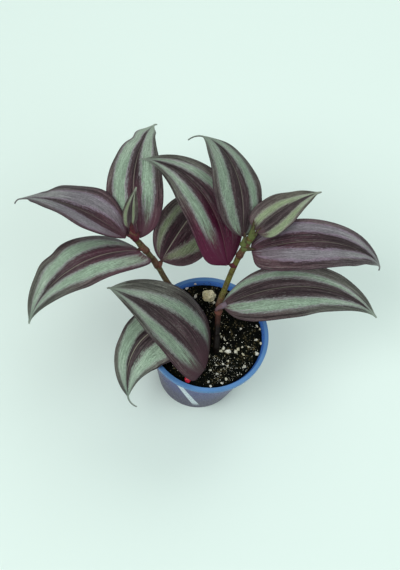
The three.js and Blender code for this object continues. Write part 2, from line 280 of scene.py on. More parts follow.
# a new material with its shader: fixed values are set on the shader's own sockets
def newMaterial(name, fixed):
    material = bpy.data.materials.new(name)
    material.use_nodes = True
    tree = material.node_tree
    shader = tree.nodes["Principled BSDF"]
    for key, value in fixed.items():
        shader.inputs[key].default_value = value
    return material, tree, shader


def addBump(tree, shader, height, depth):
    bump = addNode(tree, "ShaderNodeBump", {"Height": height, "Distance": depth * mm, "Strength": 1.0})
    tree.links.new(bump.outputs[0], shader.inputs["Normal"])


# a shader's colour, roughness and bump in one go
def dress(tree, shader, colour, roughness, height, depth):
    tree.links.new(colour, shader.inputs["Base Color"])
    tree.links.new(roughness, shader.inputs["Roughness"])
    addBump(tree, shader, height, depth)


def objectPlace(tree):
    return addNode(tree, "ShaderNodeTexCoord").outputs["Object"]


# a new object in the scene, with the shape as its mesh
def addObject(name, shape):
    mesh = bpy.data.meshes.new(name)
    shape.to_mesh(mesh)
    shape.free()
    piece = bpy.data.objects.new(name, mesh)
    bpy.context.scene.collection.objects.link(piece)
    return piece


# a finished piece: its mesh is in place, it rides on the one body and stands for its node
def finishPiece(name, shape, materials, node=None, smooth=True):
    piece = addObject(name, shape)
    for face in piece.data.polygons:
        face.use_smooth = smooth
    for material in materials:
        piece.data.materials.append(material)
    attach(piece, "root")
    if node:
        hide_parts(node)
    return piece


# pot: a thin tapered cup of blue plastic with a flat rim
pot = {
    "height": 48, "rimRadius": 27.5, "rimWidth": 1.7, "band": 2.3, "bodyTopRadius": 25.9, "baseRadius": 18.8,
    "wall": 0.9, "floor": 1.4, "round": 0.45, "drains": 6, "drainRadius": 2, "drainRing": 12.5,
    "turns": 144,
}
potLook = {
    "rim": paint(88, 132, 182), "upper": paint(56, 62, 132), "lower": paint(54, 40, 80),
    # inside is the same plastic painted a lighter blue: painted light on the inner wall, where the lamps fall
    # into the cup
    "inside": paint(74, 126, 212), "dust": paint(60, 55, 50), "reflectionPaint": paint(228, 240, 248),
    # The palest paint above, with its fade, top, turn, heights and half widths, is a painted reflection: a
    # pale streak of reflected light down the front of the body.
    "fadeHeights": (10, 42), "reflectionFade": 4, "reflectionTop": (42, 45),
    "reflectionTurn": (-103.5, -82.0), "reflectionHeights": (36.0, 8.0), "reflectionHalfWidths": (1.7, 1.6),
}


# the height of the foot of the rim's band, and how the pot's radius grows with height under it
bandFoot = pot["height"] - pot["band"]
potSlope = (pot["bodyTopRadius"] - pot["baseRadius"]) / bandFoot


# the radius of the pot's outside at a height, under the rim's band
def potRadius(height):
    return pot["baseRadius"] + potSlope * height


def potMaterial(look):
    material, tree, shader = newMaterial("bluePlastic", {"Specular IOR Level": 0.07})
    place = objectPlace(tree)
    grain = placeGroup(tree, grainGroup, {"Vector": place, "Size": 900.0, "Coarse": 70.0})
    x, y, z = addNode(tree, "ShaderNodeSeparateXYZ", {0: place}).outputs
    fadeFoot, fadeTop = look["fadeHeights"]
    body = mixed(tree, ramped(tree, z, fadeFoot * mm, fadeTop * mm), look["lower"], look["upper"])
    colour = mixed(tree, ramped(tree, z, (bandFoot - 0.3) * mm, bandFoot * mm), body, look["rim"])
    radius = maths(tree, "SQRT", plus(tree, times(tree, x, x), times(tree, y, y)))
    outside = plus(tree, times(tree, z, potSlope), pot["baseRadius"] * mm)
    within = less(tree, outside, radius)
    # the inner wall is painted lighter and bluer: painted light, as the lamps fall into the cup
    inner = ramped(tree, within, 0.3 * mm, 0.7 * mm)
    colour = mixed(tree, inner, colour, look["inside"])
    dusty = times(tree, inner, ramped(tree, grain["Fine"], 0.55, 0.68))
    colour = mixed(tree, times(tree, dusty, 0.6), colour, look["dust"])
    # a painted reflection: a pale streak of reflected light leans down the front
    turn = times(tree, maths(tree, "ARCTAN2", y, x), 180 / math.pi)
    high, low = look["reflectionHeights"]
    lean = (look["reflectionTurn"][1] - look["reflectionTurn"][0]) / (high - low)
    middle = plus(tree, times(tree, less(tree, high * mm, z), lean / mm), look["reflectionTurn"][0])
    aside = times(tree, maths(tree, "ABSOLUTE", less(tree, turn, middle)), math.pi / 180)
    away = times(tree, aside, radius)
    topHalf, footHalf = look["reflectionHalfWidths"]
    halfWidth = ramped(tree, z, low * mm, high * mm, footHalf * mm, topHalf * mm)
    reflectionMask = ramped(tree, less(tree, away, halfWidth), -0.15 * mm, 0.15 * mm, 1.0, 0.0)
    fade, (topStart, topEnd) = look["reflectionFade"], look["reflectionTop"]
    span = times(tree, ramped(tree, z, (low - fade) * mm, (low + fade) * mm),
                 ramped(tree, z, topStart * mm, topEnd * mm, 1.0, 0.0))
    reflectionMask = times(tree, reflectionMask, span)
    reflectionMask = times(tree, reflectionMask, ramped(tree, within, 0.2 * mm, 0.5 * mm, 1.0, 0.0))
    colour = mixed(tree, times(tree, reflectionMask, 0.85), colour, look["reflectionPaint"])
    colour = shaded(tree, colour, grain["Broad"], 0.93, 1.07)
    dress(tree, shader, colour, ramped(tree, grain["Fine"], 0.3, 0.7, 0.24, 0.36),
          plus(tree, grain["Fine"], grain["Broad"]), 0.012)
    return material


# a closed shape turned about the upright axis from the corners of its section, each a radius and a height
def turned(corners, steps):
    shape = bmesh.new()
    verts = [shape.verts.new((r * mm, 0, z * mm)) for r, z in corners]
    edges = [shape.edges.new(pair) for pair in zip(verts, verts[1:])]
    bmesh.ops.spin(shape, geom=verts + edges, cent=(0, 0, 0), axis=(0, 0, 1), angle=2 * math.pi, steps=steps,
                   use_merge=True)
    bmesh.ops.remove_doubles(shape, verts=shape.verts, dist=0.001 * mm)
    bmesh.ops.recalc_face_normals(shape, faces=shape.faces)
    return shape


def makePot():
    innerFoot = potRadius(pot["floor"]) - pot["wall"]
    corners = [
        (0, 0), (pot["baseRadius"], 0), (pot["bodyTopRadius"], bandFoot), (pot["rimRadius"], bandFoot),
        (pot["rimRadius"], pot["height"]), (pot["rimRadius"] - pot["rimWidth"], pot["height"]),
        (pot["bodyTopRadius"] - pot["wall"], bandFoot), (innerFoot, pot["floor"]), (0, pot["floor"]),
    ]
    shape = turned(corners, pot["turns"])
    cutter = bmesh.new()
    for i in range(pot["drains"]):
        turn = 2 * math.pi * i / pot["drains"]
        spot = Vector((math.cos(turn), math.sin(turn), 0)) * pot["drainRing"] * mm
        bmesh.ops.create_cone(cutter, cap_ends=True, segments=32, radius1=pot["drainRadius"] * mm,
                              radius2=pot["drainRadius"] * mm, depth=4 * pot["floor"] * mm,
                              matrix=Matrix.Translation(spot))
    return drilled(shape, cutter)


# the shape less the cutter, as a new mesh
def drilled(shape, cutter):
    blank, drill = addObject("blank", shape), addObject("drill", cutter)
    cut = blank.modifiers.new("cut", "BOOLEAN")
    cut.object = drill
    cut.operation = "DIFFERENCE"
    cut.solver = "EXACT"
    depsgraph = bpy.context.evaluated_depsgraph_get()
    result = bmesh.new()
    result.from_object(blank, depsgraph)
    for piece in (blank, drill):
        bpy.data.objects.remove(piece)
    return result


potPiece = finishPiece("nursery_pot", makePot(), [potMaterial(potLook)], "pot")
rounding = potPiece.modifiers.new("rounding", "BEVEL")
rounding.width = pot["round"] * mm
rounding.segments = 4
rounding.limit_method = "ANGLE"
rounding.angle_limit = math.radians(35)
print("pot made")


# soil: a crumbly surface just under the rim, with loose crumbs, bark fibres and white perlite on it
soil = {
    "level": 46, "gap": 0.3, "rings": 60, "turns": 160, "lumps": 0.9, "fine": 0.35,
    "crumbs": 1500, "crumbSizes": (0.35, 1.15), "fibres": 120, "fibreLengths": (1.2, 3.8), "specks": 460,
    "dust": 260, "dustSizes": (0.15, 0.36), "dustPlace": (11, -14), "dustSpread": (6, 5),
    "reach": 24, "fibreReach": 23, "stemClearance": 2.4, "seed": 4,
}
soilLook = {"dark": paint(2, 5, 2), "light": paint(18, 22, 13), "damp": paint(1, 3, 1)}
stemFeet = [(-5.4, -1.6), (5.4, -7)]
# each grain of perlite: x, y, its length, its width and its turn
perlite = [
    (-10.6, 23.3, 2.4, 1.9, 10), (-13.6, 19.9, 1.6, 1.3, 40), (-9.1, 16.4, 1.7, 2.2, 0),
    (-0.2, 16.2, 1.9, 1.4, 20), (5.2, 1.4, 1.4, 1.3, 0), (6.3, 0.6, 1.7, 1.3, -40),
    (7.9, -0.4, 2.2, 1.3, -45), (5, 0.1, 1.1, 1.3, 0), (9.5, -2, 1, 1, 0),
    (8.3, -4.8, 1.5, 1.9, 20), (7.7, -6.4, 1.5, 1.2, 0), (11, -5.8, 3, 1.9, 12),
    (14.2, -5, 1.7, 1.7, 30), (14.9, -3.6, 1.4, 1.3, 0), (17.6, -5.6, 1.9, 1.2, -20),
    (9.8, -12.2, 1.2, 1.1, 0), (11.7, -12.7, 1.4, 1, 20), (11.7, -10.3, 1, 0.9, 0),
    (6.9, -13.5, 0.9, 0.9, 0), (8.1, -17.5, 1.4, 1, 0), (4.8, -16.4, 1.9, 1.3, 15),
    (5.1, -22.1, 1.3, 1.3, 0), (6.4, -23.6, 1.3, 1, 0), (12.5, -18.8, 1.2, 1.4, 0),
    (11.1, -21, 1.4, 1.2, 0), (19.1, -11.3, 2, 2, 40), (21.1, 9.5, 1.7, 1.2, -35),
    (22.7, 8.4, 1.4, 1.2, -35), (14.3, 6.5, 0.8, 1.2, 30), (21.9, 2.7, 1.5, 1.3, 20),
    (16.4, -2.2, 1, 1, 0), (24.3, 1.8, 1.2, 1.6, 0), (23.4, -3.6, 1.6, 1.6, 0),
    (19.5, -1.4, 1.4, 1, 0), (1.8, -6.5, 0.8, 0.8, 0), (3, -10.1, 0.8, 0.8, 0),
    (-14, 10, 1.3, 1, 0), (-18, 2, 1.5, 1.2, 30), (-12, -14, 1.4, 1.1, 0),
    (-3, 6, 1.2, 1.2, 0), (0, -20.5, 1.1, 0.9, 0),
]


def soilHeight(x, y):
    broad = noise.noise(Vector((x, y, 3)) * 0.22) * soil["lumps"]
    fine = noise.noise(Vector((x, y, 9)) * 0.9) * soil["fine"]
    edge = math.hypot(x, y) / (pot["bodyTopRadius"] - pot["wall"])
    return soil["level"] + 0.25 + broad * 0.6 + fine - 0.5 * max(0, edge - 0.9) * 10


def soilMaterial(look, name, shine):
    material, tree, shader = newMaterial(name, {"Specular IOR Level": 0.08})
    place = objectPlace(tree)
    grain = placeGroup(tree, grainGroup, {"Vector": place, "Size": 1300.0, "Coarse": 260.0})
    colour = mixed(tree, ramped(tree, grain["Fine"], 0.35, 0.7), look["dark"], look["light"])
    colour = mixed(tree, ramped(tree, grain["Broad"], 0.4, 0.6), look["damp"], colour)
    dress(tree, shader, colour, ramped(tree, grain["Broad"], 0.3, 0.7, shine, 0.95),
          plus(tree, grain["Fine"], grain["Pits"]), 0.35)
    return material


def makeSoil():
    bottom = pot["floor"] + soil["gap"]
    foot = potRadius(bottom) - pot["wall"] - soil["gap"]
    top = potRadius(soil["level"] - 0.5) - pot["wall"] - soil["gap"]
    corners = [(0, bottom), (foot, bottom), (top, soil["level"] - 0.5)]
    corners += [(top * (1 - i / soil["rings"]), soil["level"]) for i in range(1, soil["rings"] + 1)]
    shape = turned(corners, soil["turns"])
    for vert in shape.verts:
        if vert.co.z > (soil["level"] - 0.1) * mm:
            vert.co.z = soilHeight(vert.co.x / mm, vert.co.y / mm) * mm
    return shape


# a small lump: a ball pressed to a size, with its corners moved in or out
def addLump(shape, place, size, turn, fine, rough, draws):
    ball = bmesh.ops.create_icosphere(shape, subdivisions=fine, radius=0.5)["verts"]
    for vert in ball:
        vert.co *= 1 + rough * (draws.random() - 0.5)
    matrix = Matrix.Translation(Vector(place) * mm) @ turn.to_4x4()
    matrix = matrix @ Matrix.Diagonal((*size, 1)) @ Matrix.Scale(mm, 4)
    bmesh.ops.transform(shape, matrix=matrix, verts=ball)


def anyTurn(draws):
    spun = Matrix.Rotation(draws.uniform(0, 6.283), 3, "Z")
    return spun @ Matrix.Rotation(draws.uniform(0, 6.283), 3, "X")


# a spot on the soil that is clear of both stems
def soilSpot(draws, reach):
    while True:
        turn = draws.uniform(0, 2 * math.pi)
        away = reach * math.sqrt(draws.random())
        x, y = away * math.cos(turn), away * math.sin(turn)
        if all(math.hypot(x - fx, y - fy) > soil["stemClearance"] for fx, fy in stemFeet):
            return x, y


def makeCrumbs():
    draws = random.Random(soil["seed"])
    crumbs, specks = bmesh.new(), bmesh.new()
    for _ in range(soil["crumbs"]):
        x, y = soilSpot(draws, soil["reach"])
        size = draws.uniform(*soil["crumbSizes"])
        place = (x, y, soilHeight(x, y) + 0.15 * size)
        sizes = (size, size * draws.uniform(0.6, 1), size * draws.uniform(0.5, 0.9))
        addLump(crumbs, place, sizes, anyTurn(draws), 1, 0.5, draws)
    for _ in range(soil["fibres"]):
        x, y = soilSpot(draws, soil["fibreReach"])
        length = draws.uniform(*soil["fibreLengths"])
        flat = Matrix.Rotation(draws.uniform(0, 6.283), 3, "Z")
        flat = flat @ Matrix.Rotation(draws.uniform(-0.35, 0.35), 3, "Y")
        addLump(crumbs, (x, y, soilHeight(x, y) + 0.3), (length, 0.4, 0.3), flat, 1, 0.4, draws)
    for _ in range(soil["specks"]):
        x, y = soilSpot(draws, soil["reach"])
        size = 0.16 + 0.5 * draws.random() ** 3
        place = (x, y, soilHeight(x, y) + 0.3)
        addLump(specks, place, (size, size * 0.7, size * 0.6), anyTurn(draws), 1, 0.9, draws)
    for _ in range(soil["dust"]):
        x, y = (draws.gauss(*spread) for spread in zip(soil["dustPlace"], soil["dustSpread"]))
        size = draws.uniform(*soil["dustSizes"])
        fromStem = math.hypot(x - stemFeet[1][0], y - stemFeet[1][1])
        if math.hypot(x, y) < soil["reach"] and fromStem > soil["stemClearance"]:
            place = (x, y, soilHeight(x, y) + 0.3)
            addLump(specks, place, (size, size, size * 0.7), anyTurn(draws), 1, 0.9, draws)
    for x, y, length, width, turn in perlite:
        spun = Matrix.Rotation(math.radians(turn), 3, "Z") @ Matrix.Rotation(draws.uniform(-0.4, 0.4), 3, "X")
        height = min(length, width) * 0.85
        place = (x, y, soilHeight(x, y) + 0.25 * height + 0.1)
        addLump(specks, place, (length, width, height), spun, 1, 0.95, draws)
    return crumbs, specks


perliteLook = {"bright": paint(228, 228, 216), "shade": paint(150, 150, 136), "stain": paint(196, 192, 164)}


def perliteMaterial(look):
    material, tree, shader = newMaterial("perliteStone", {"Roughness": 0.9, "Specular IOR Level": 0.3})
    grain = placeGroup(tree, grainGroup, {"Vector": objectPlace(tree), "Size": 1500.0, "Coarse": 220.0})
    colour = mixed(tree, ramped(tree, grain["Fine"], 0.3, 0.6), look["shade"], look["bright"])
    colour = mixed(tree, ramped(tree, grain["Broad"], 0.4, 0.65), colour, look["stain"])
    tree.links.new(colour, shader.inputs["Base Color"])
    addBump(tree, shader, plus(tree, grain["Pits"], grain["Fine"]), 0.25)
    return material


soilShade = soilMaterial(soilLook, "pottingMix", 0.7)
crumbLook = {"dark": paint(8, 12, 6), "light": paint(108, 98, 70), "damp": paint(3, 6, 3)}
crumbShade = soilMaterial(crumbLook, "mixCrumbs", 0.6)
perliteShade = perliteMaterial(perliteLook)
finishPiece("soil_body", makeSoil(), [soilShade], "soil")
crumbShape, speckShape = makeCrumbs()
finishPiece("soil_crumbs", crumbShape, [crumbShade], smooth=False)
finishPiece("perlite_grains", speckShape, [perliteShade], smooth=False)

# the one big cream crumb: a ball with its surface pushed in and out
lump = {"place": (-3.2, 18.5, 47), "size": (6, 5.4, 4.3), "seed": 12}


def makeLump():
    shape = bmesh.new()
    ball = bmesh.ops.create_icosphere(shape, subdivisions=5, radius=0.5)["verts"]
    for vert in ball:
        broad = noise.noise(vert.co * 3.1 + Vector((lump["seed"], 0, 0)))
        fine = noise.noise(vert.co * 9 + Vector((lump["seed"], 5, 0)))
        vert.co *= 1.02 + 0.36 * broad + 0.13 * fine
    matrix = Matrix.Translation(Vector(lump["place"]) * mm)
    matrix = matrix @ Matrix.Diagonal((*lump["size"], 1)) @ Matrix.Scale(mm, 4)
    bmesh.ops.transform(shape, matrix=matrix, verts=ball)
    return shape


lumpLook = {"bright": paint(230, 226, 192), "shade": paint(170, 162, 126), "stain": paint(208, 198, 146)}
finishPiece("big_perlite", makeLump(), [perliteMaterial(lumpLook)], "perlite_lump")

bead = {"radius": 1.3, "place": (-3.8, -23.2, 46.8), "colour": paint(206, 40, 62), "dent": paint(150, 22, 42)}


def makeBead():
    shape = bmesh.new()
    ball = bmesh.ops.create_icosphere(shape, subdivisions=4, radius=bead["radius"] * mm)["verts"]
    for vert in ball:
        vert.co *= 1.06 + 0.34 * noise.noise(vert.co / mm * 0.9)
    bmesh.ops.translate(shape, verts=ball, vec=Vector(bead["place"]) * mm)
    return shape


def beadMaterial():
    material, tree, shader = newMaterial("foodBead", {"Coat Weight": 0.3})
    grain = placeGroup(tree, grainGroup, {"Vector": objectPlace(tree), "Size": 1200.0, "Coarse": 500.0})
    colour = mixed(tree, ramped(tree, grain["Broad"], 0.4, 0.65), bead["colour"], bead["dent"])
    dress(tree, shader, colour, ramped(tree, grain["Fine"], 0.3, 0.7, 0.3, 0.5), grain["Fine"], 0.05)
    return material


finishPiece("red_bead", makeBead(), [beadMaterial()], "food_bead")
print("soil, perlite and bead made")


# stems: the same points as the solids have. Nodes name the points where a leaf and its sheath grow,
# the share after them is how far up painted shade darkens the stem's foot, and green is the skin between
# nodes.
stemShape = {"radius": 1.4, "sides": 24, "step": 0.6, "swell": 0.16, "swellReach": 1.3, "tipLength": 4,
             "sheathLength": 5, "sheathGap": 0.14, "sheathSkin": 0.16, "mouthLean": 1.1, "mouthRough": 0.3}
stems = {
    "left": {
        "points": [(-4, -4, 37), (-4.5, -3, 43), (-6.5, 0, 49), (-14.5, 8.5, 54.5), (-23.5, 15, 60),
                   (-28.5, 18.5, 65), (-34.5, 21, 71), (-38, 22, 74.5), (-41, 23, 78), (-42.2, 24.2, 80.8)],
        "nodes": [2, 5, 6, 8],
        "footShadeTo": 0.36, "green": paint(80, 72, 48),
    },
    "right": {
        "points": [(5.9, -9.2, 37), (5.7, -8.2, 43), (5.1, -5.7, 48.5), (3.6, 2, 52.5), (2.2, 10, 57.5),
                   (2.7, 15.5, 62.5), (4, 22, 70), (5.5, 27, 76), (7, 29.5, 80.5), (8, 31.5, 84),
                   (9.2, 33.2, 87.3)],
        "nodes": [2, 4, 7, 8, 9],
        "footShadeTo": 0.3, "green": paint(92, 90, 42),
    },
}


# a smooth line through points, walked in even steps (a centripetal Catmull-Rom curve)
def walkThrough(points, step):
    points = [Vector(p) for p in points]
    ends = [points[0] * 2 - points[1]] + points + [points[-1] * 2 - points[-2]]
    dense = []
    for p0, p1, p2, p3 in zip(ends, ends[1:], ends[2:], ends[3:]):
        t1 = (p1 - p0).length ** 0.5
        t2 = t1 + (p2 - p1).length ** 0.5
        t3 = t2 + (p3 - p2).length ** 0.5
        for i in range(24):
            t = t1 + (t2 - t1) * i / 24
            a1 = p0.lerp(p1, t / t1)
            a2 = p1.lerp(p2, (t - t1) / (t2 - t1))
            a3 = p2.lerp(p3, (t - t2) / (t3 - t2))
            dense.append(a1.lerp(a2, t / t2).lerp(a2.lerp(a3, (t - t1) / (t3 - t1)), (t - t1) / (t2 - t1)))
    dense.append(points[-1])
    walked, left = [dense[0]], step
    for start, end in zip(dense, dense[1:]):
        while (end - start).length >= left:
            start = start.lerp(end, left / (end - start).length)
            walked.append(start)
            left = step
        left -= (end - start).length
    return walked


# the frames that carry a ring along a line without turning it
def ringFrames(line):
    frames = []
    side = Vector((1, 0, 0))
    for i, point in enumerate(line):
        ahead = (line[min(i + 1, len(line) - 1)] - line[max(i - 1, 0)]).normalized()
        side = (side - ahead * side.dot(ahead)).normalized()
        frames.append(Matrix((side, ahead.cross(side), ahead)).transposed().to_4x4())
        frames[-1].translation = point
    return frames


# a tube pulled along frames: radii says how wide it is at each, and layers what is stored there
def pullTube(shape, frames, radii, sides, layers):
    floats = shape.verts.layers.float
    stored = {name: floats.get(name) or floats.new(name) for name in layers}
    ring = bmesh.ops.create_circle(shape, segments=sides, radius=1)["verts"]
    edges = list({edge for vert in ring for edge in vert.link_edges})
    first, previous = edges, Matrix.Identity(4)
    for i, (where, radius) in enumerate(zip(frames, radii)):
        if i:
            pulled = bmesh.ops.extrude_edge_only(shape, edges=edges)["geom"]
            ring = [item for item in pulled if isinstance(item, bmesh.types.BMVert)]
            edges = [item for item in pulled if isinstance(item, bmesh.types.BMEdge)]
            edges = [edge for edge in edges if all(vert in ring for vert in edge.verts)]
        current = Matrix.Scale(mm, 4) @ where @ Matrix.Diagonal((radius, radius, radius, 1))
        bmesh.ops.transform(shape, matrix=current @ previous.inverted(), verts=ring)
        previous = current
        for name, values in layers.items():
            for vert in ring:
                vert[stored[name]] = values[i]
    return first, edges, ring


def nearest(line, point):
    return min(range(len(line)), key=lambda i: (line[i] - Vector(point)).length)


# a stem's radius at each step: it swells at its nodes and narrows to its tip
def stemRadii(stem, line):
    marks = [nearest(line, stem["points"][n]) for n in stem["nodes"]]
    radii = []
    for i in range(len(line)):
        away = [(i - m) * stemShape["step"] / stemShape["swellReach"] for m in marks]
        bulge = sum(math.exp(-(a ** 2)) for a in away)
        toTip = min(1, (len(line) - 1 - i) * stemShape["step"] / stemShape["tipLength"])
        narrowing = 0.3 + 0.7 * math.sqrt(1 - (1 - toTip) ** 2)
        radii.append(stemShape["radius"] * (0.9 + stemShape["swell"] * min(1, bulge)) * narrowing)
    return radii


def sharesAlong(line):
    return [i / (len(line) - 1) for i in range(len(line))]


# a tube along a line with both its ends closed
def closedTube(shape, line, radii, sides):
    first, last, _ = pullTube(shape, ringFrames(line), radii, sides, {"along": sharesAlong(line)})
    for loop in (first, last):
        bmesh.ops.edgeloop_fill(shape, edges=loop)


def makeStem(stem):
    line = walkThrough(stem["points"], stemShape["step"])
    shape = bmesh.new()
    closedTube(shape, line, stemRadii(stem, line), stemShape["sides"])
    bmesh.ops.recalc_face_normals(shape, faces=shape.faces)
    return shape


# the papery sheaths: each hugs its stem from the node up, and its mouth is uneven
def makeSheaths(stem, seed):
    draws = random.Random(seed)
    line = walkThrough(stem["points"], stemShape["step"])
    frames = ringFrames(line)
    stemWide = stemRadii(stem, line)
    shares = sharesAlong(line)
    steps = round(stemShape["sheathLength"] / stemShape["step"]) + 2
    shape = bmesh.new()
    for n in stem["nodes"]:
        start = max(0, nearest(line, stem["points"][n]) - 1)
        stations = list(range(start, min(len(line), start + steps)))
        if len(stations) < 5:
            continue
        radii = [stemWide[i] + stemShape["sheathGap"] for i in stations]
        layers = {"along": [shares[i] for i in stations]}
        _, _, mouth = pullTube(shape, [frames[i] for i in stations], radii, stemShape["sides"], layers)
        ahead = frames[stations[-1]].to_3x3() @ Vector((0, 0, 1))
        phase = draws.uniform(0, 6.283)
        for i, vert in enumerate(mouth):
            turn = 2 * math.pi * i / stemShape["sides"]
            lean = stemShape["mouthLean"] * math.sin(turn + phase)
            vert.co += ahead * mm * (lean + stemShape["mouthRough"] * draws.uniform(-1, 1))
    return shape


# the darkest paint is painted shade, for the foot of each stem by the soil
stemPaints = {"footShade": paint(16, 12, 9), "node": paint(72, 44, 36), "papery": paint(92, 76, 62),
              "freckle": paint(60, 32, 28), "pale": paint(128, 122, 88), "red": paint(98, 52, 44)}


# the colours at shares of the way up a stem: painted shade at its foot, red-brown at a node, papery above it
def stemBands(stem):
    line = walkThrough(stem["points"], stemShape["step"])
    bands = [(stem["footShadeTo"], stemPaints["footShade"]), (stem["footShadeTo"] + 0.08, stemPaints["node"])]
    for n in stem["nodes"]:
        at = nearest(line, stem["points"][n]) / (len(line) - 1)
        around = ((-0.03, stem["green"]), (0, stemPaints["node"]), (0.03, stemPaints["papery"]),
                  (0.06, stem["green"]))
        for offset, colour in around:
            place = at + offset
            if bands[-1][0] + 0.01 < place < 1:
                bands.append((place, colour))
    return bands


def banded(tree, value, bands):
    ramp = addNode(tree, "ShaderNodeValToRGB", {0: value})
    while len(ramp.color_ramp.elements) < len(bands):
        ramp.color_ramp.elements.new(0.5)
    for element, (place, colour) in zip(ramp.color_ramp.elements, bands):
        element.position = place
        element.color = colour
    return ramp.outputs[0]


# the skin of a stem, or of its sheaths, which are redder
def stemMaterial(name, bands, red):
    material, tree, shader = newMaterial(name, {"Specular IOR Level": 0.12})
    along = addNode(tree, "ShaderNodeAttribute", attribute_name="along").outputs["Fac"]
    place = objectPlace(tree)
    grain = placeGroup(tree, grainGroup, {"Vector": place, "Size": 1400.0, "Coarse": 520.0})
    wandering = plus(tree, along, offCentre(tree, grain["Broad"], 0.06))
    colour = banded(tree, wandering, bands)
    freckle = ramped(tree, grain["Broad"], 0.46, 0.6, 0.0, 0.5)
    lit = ramped(tree, along, 0.38, 0.5)
    colour = mixed(tree, times(tree, freckle, lit), colour, stemPaints["freckle"])
    pale = ramped(tree, grain["Fine"], 0.52, 0.64, 0.0, 0.4)
    colour = mixed(tree, times(tree, pale, lit), colour, stemPaints["pale"])
    colour = mixed(tree, times(tree, red, lit), colour, stemPaints["red"])
    dress(tree, shader, colour, ramped(tree, grain["Fine"], 0.3, 0.7, 0.42, 0.6),
          plus(tree, grain["Broad"], grain["Fine"]), 0.15)
    return material


# small growths where blades meet a stem: each is a tube through points, with four radii from foot to end
growths = {
    "green": [
        ([(5.8, 29.2, 81), (6, 30.4, 83.6), (5.6, 31.2, 85.2), (4.8, 32.2, 86.6)],
         (1.7, 1.3, 0.8, 0.2)),
        ([(8.2, 31.6, 84.4), (8.2, 32.8, 87.2), (7.9, 34, 90), (7.4, 35.8, 93.4)],
         (1.6, 1.2, 0.7, 0.12)),
        ([(7.4, 30.4, 82.6), (9, 32, 85.4), (10.2, 33.4, 87.8), (11.4, 35, 89.4)],
         (1.6, 1.2, 0.7, 0.2)),
        ([(6, 28.6, 79.4), (7.6, 28.4, 80.2), (9.4, 28.4, 80.6), (11.4, 28.8, 80.8)],
         (1.6, 1.2, 0.8, 0.3)),
    ],
    "red": [
        ([(-39.6, 22.6, 76.4), (-41, 22.2, 78.4), (-42.8, 21.6, 79.4), (-44.4, 21.2, 79.6)],
         (1.6, 1.3, 0.8, 0.2)),
        ([(-39.6, 22.8, 76), (-39.4, 24, 76.4), (-39, 25.4, 76.2), (-38.6, 27, 76)],
         (1.6, 1.2, 0.8, 0.2)),
        ([(-41.2, 23.4, 78.6), (-42, 24.4, 80.8), (-42.4, 25.4, 82), (-42.8, 26.6, 82.8)],
         (1.4, 1.1, 0.8, 0.2)),
        ([(4.4, 23.6, 71.6), (3.4, 23, 72.4), (2.4, 22.8, 72.9), (1.4, 23.2, 73.2)],
         (1.6, 1.2, 0.8, 0.2)),
    ],
    "brown": [
        ([(-35.6, 21.4, 71.8), (-36.4, 20.6, 72.6), (-37.2, 19.8, 73), (-38.4, 18.8, 73.4)],
         (1.6, 1.2, 0.8, 0.2)),
        ([(-28, 18.2, 64.6), (-27.4, 19.2, 65.6), (-27, 20.4, 66), (-26.8, 21.8, 66.4)],
         (1.6, 1.3, 0.8, 0.2)),
        ([(2.3, 6.4, 57), (2.8, 7.4, 58.8), (3.5, 8.4, 60.2), (4.8, 9.4, 61)],
         (1.8, 1.5, 1.0, 0.3)),
        ([(-7.4, 1, 49.8), (-8.6, 0.2, 51.2), (-9.8, -0.6, 52), (-11.4, -1.2, 52.4)],
         (1.6, 1.3, 0.8, 0.2)),
    ],
    "lilac": [
        ([(1.2, 6.4, 58.8), (1.5, 7, 60), (2.6, 7.8, 60.7), (5.2, 9.6, 61.5)],
         (0.5, 0.9, 1.3, 1.3)),
    ],
    # the dark growth under the front leaf is painted near-black: painted shade, as it lies in that leaf's
    # shadow
    "dark": [
        ([(2.4, -16, 45), (2.2, -17.2, 47.8), (2, -18.4, 50.6), (1.2, -18.8, 52.4)],
         (1.0, 0.9, 0.7, 0.3)),
    ],
}
growthLook = {
    "green": (paint(88, 98, 56), paint(62, 50, 38)), "red": (paint(84, 34, 42), paint(56, 30, 30)),
    # the dark colours on this line are painted shade for the growth under the front leaf
    "brown": (paint(100, 62, 52), paint(58, 40, 32)), "dark": (paint(26, 22, 18), paint(16, 22, 22)),
    "lilac": (paint(100, 78, 84), paint(108, 94, 104)),
}


def makeGrowths(tubes):
    shape = bmesh.new()
    for points, given in tubes:
        line = walkThrough(points, 0.5)
        radii = []
        for share in sharesAlong(line):
            step = min(2, int(share * 3))
            radii.append(given[step] + (given[step + 1] - given[step]) * (share * 3 - step))
        closedTube(shape, line, radii, 12)
    bmesh.ops.recalc_face_normals(shape, faces=shape.faces)
    return shape


def growthMaterial(name, colours):
    material, tree, shader = newMaterial(name, {"Specular IOR Level": 0.15})
    along = addNode(tree, "ShaderNodeAttribute", attribute_name="along").outputs["Fac"]
    grain = placeGroup(tree, grainGroup, {"Vector": objectPlace(tree), "Size": 1500.0, "Coarse": 700.0})
    mottled = plus(tree, along, offCentre(tree, grain["Broad"], 1.6))
    dress(tree, shader, mixed(tree, ramped(tree, mottled, 0.3, 0.8), *colours),
          ramped(tree, grain["Fine"], 0.3, 0.7, 0.45, 0.65), plus(tree, grain["Broad"], grain["Fine"]), 0.12)
    return material


for name, tubes in growths.items():
    growthShade = growthMaterial(name + "Growth", growthLook[name])
    finishPiece("growth_" + name, makeGrowths(tubes), [growthShade])

for side, stem in stems.items():
    skinShade = stemMaterial(side + "StemSkin", stemBands(stem), 0.0)
    sheathShade = stemMaterial(side + "Sheath", stemBands(stem), 0.25)
    finishPiece("stem_" + side + "_skin", makeStem(stem), [skinShade], "stem_" + side)
    sheath = finishPiece("sheaths_" + side, makeSheaths(stem, len(side)), [sheathShade])
    paper = sheath.modifiers.new("paper", "SOLIDIFY")
    paper.thickness = stemShape["sheathSkin"] * mm
    paper.offset = 0
print("stems made")


